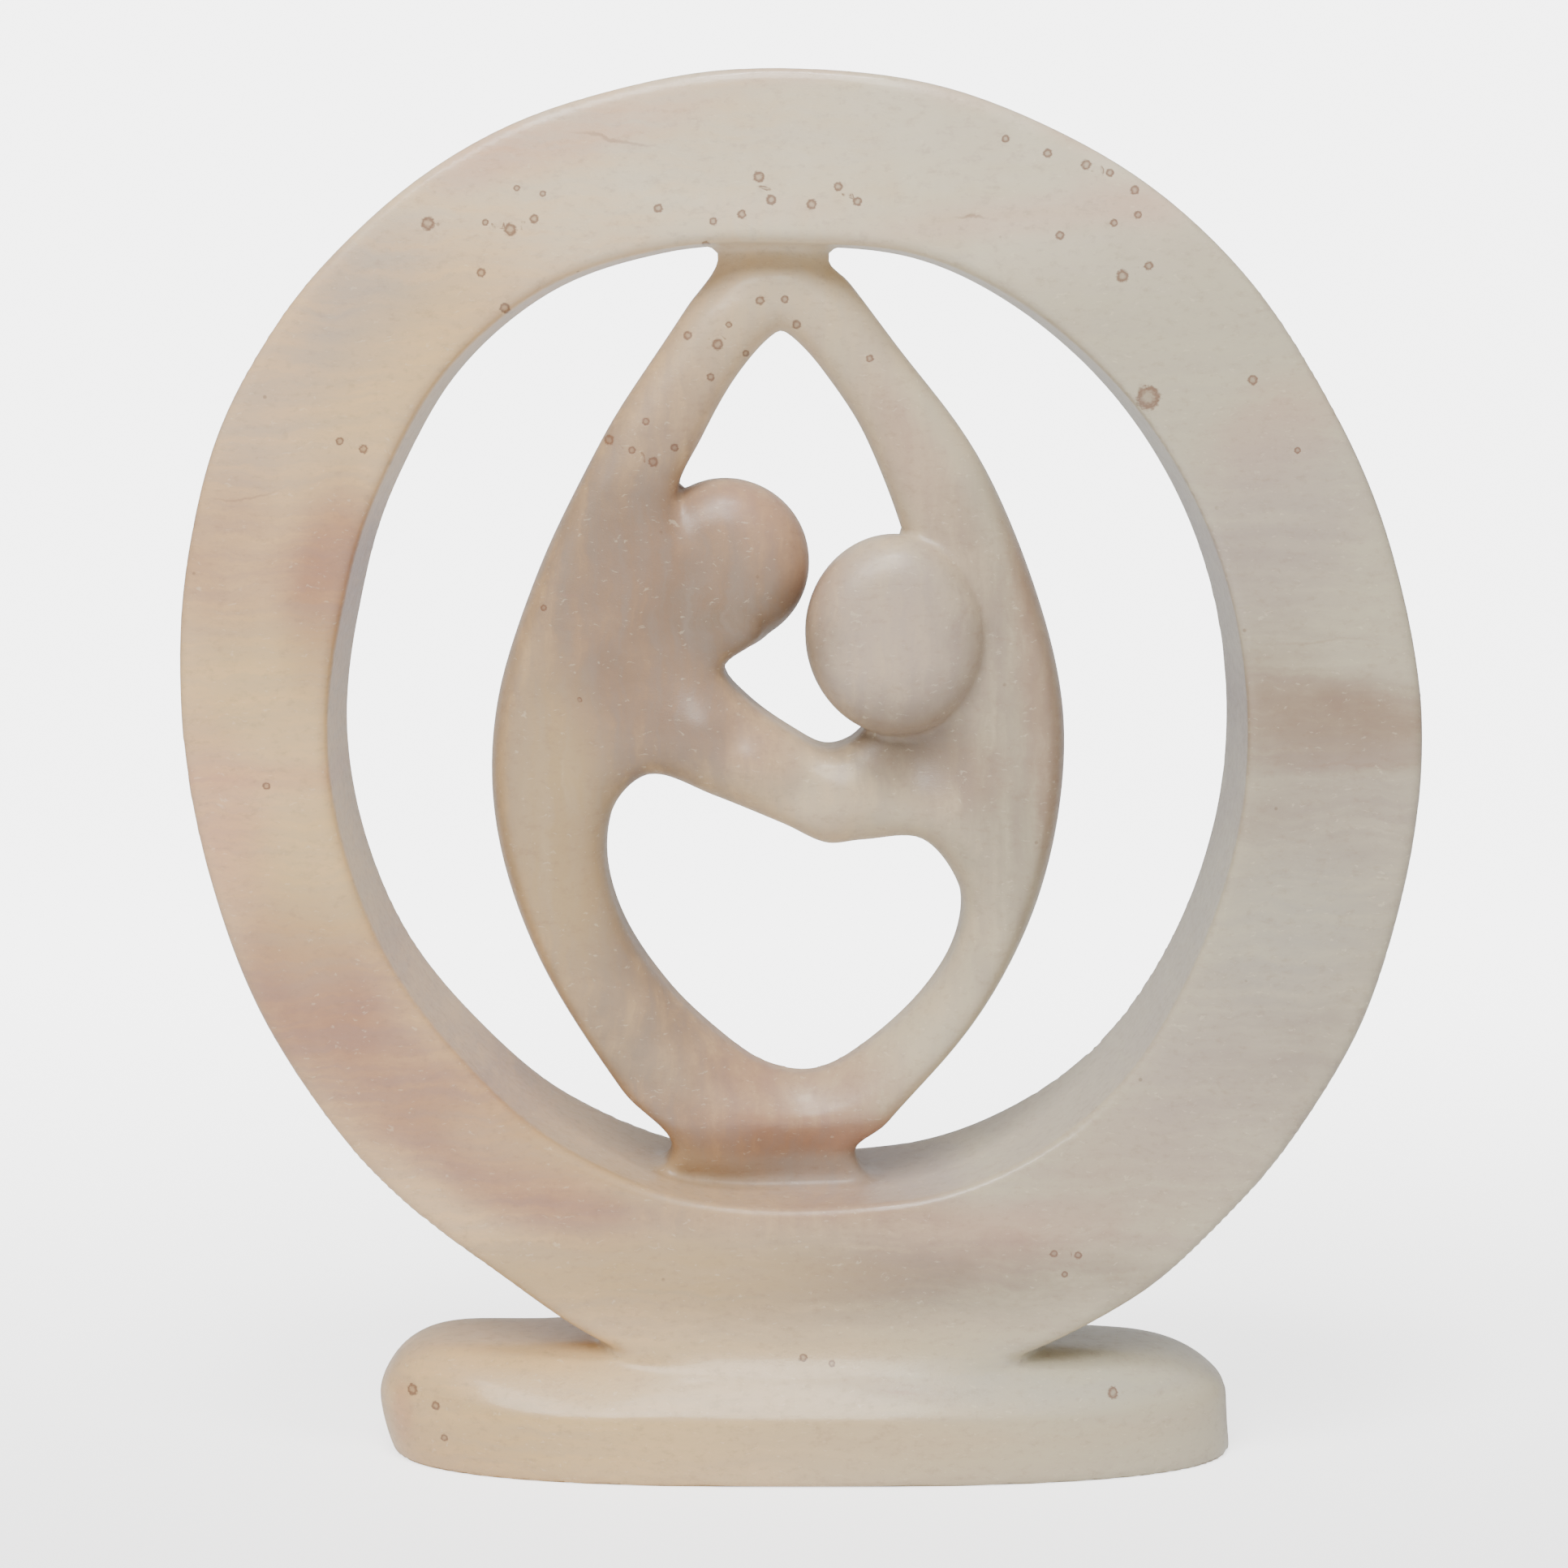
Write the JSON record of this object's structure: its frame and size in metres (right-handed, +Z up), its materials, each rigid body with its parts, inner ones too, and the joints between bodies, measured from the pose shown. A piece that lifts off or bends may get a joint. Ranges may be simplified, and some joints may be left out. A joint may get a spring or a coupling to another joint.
{
  "type": "embracing couple sculpture",
  "caption": "Standing oval stone ring on a low oval foot, with two embracing ball-headed figures carved inside it and a heart-shaped opening under their arms.",
  "frame": {"origin": "on the ground, under the middle of the ring", "axes": "+Z up; -Y is the front that the picture shows; +X to the right of it"},
  "size_m": [0.223, 0.0534, 0.2541],
  "materials": {
    "soapstone": "polished"
  },
  "bodies": {
    "root": {"embracing_couple": "soapstone"}
  },
  "joints": []
}
